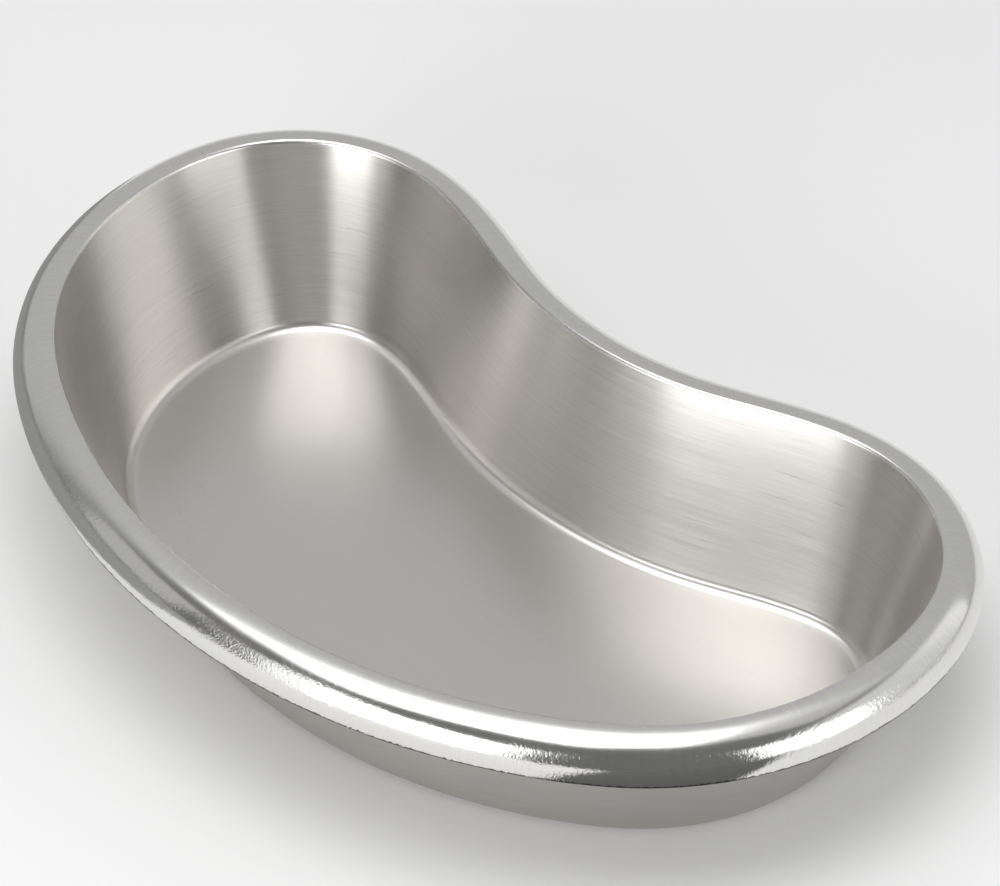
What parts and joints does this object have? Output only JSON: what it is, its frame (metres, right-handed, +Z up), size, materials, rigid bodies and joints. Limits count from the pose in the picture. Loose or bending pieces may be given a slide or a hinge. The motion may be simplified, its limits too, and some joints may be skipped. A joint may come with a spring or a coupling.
{
  "type": "kidney dish",
  "caption": "Kidney-shaped hospital dish pressed from one satin steel sheet, with a flat floor, sloping walls, a waisted side and a rolled-over rim.",
  "frame": {"origin": "on the flat underside, below the middle of the rim's outer box", "axes": "+Z up out of the open top, +X along the dish, +Y towards the waisted side"},
  "size_m": [0.25, 0.1554, 0.0505],
  "materials": {
    "satin_steel": "satin brushed inside and out, with a polished rim"
  },
  "bodies": {
    "root": {"kidney_bowl": "satin_steel"}
  },
  "joints": []
}
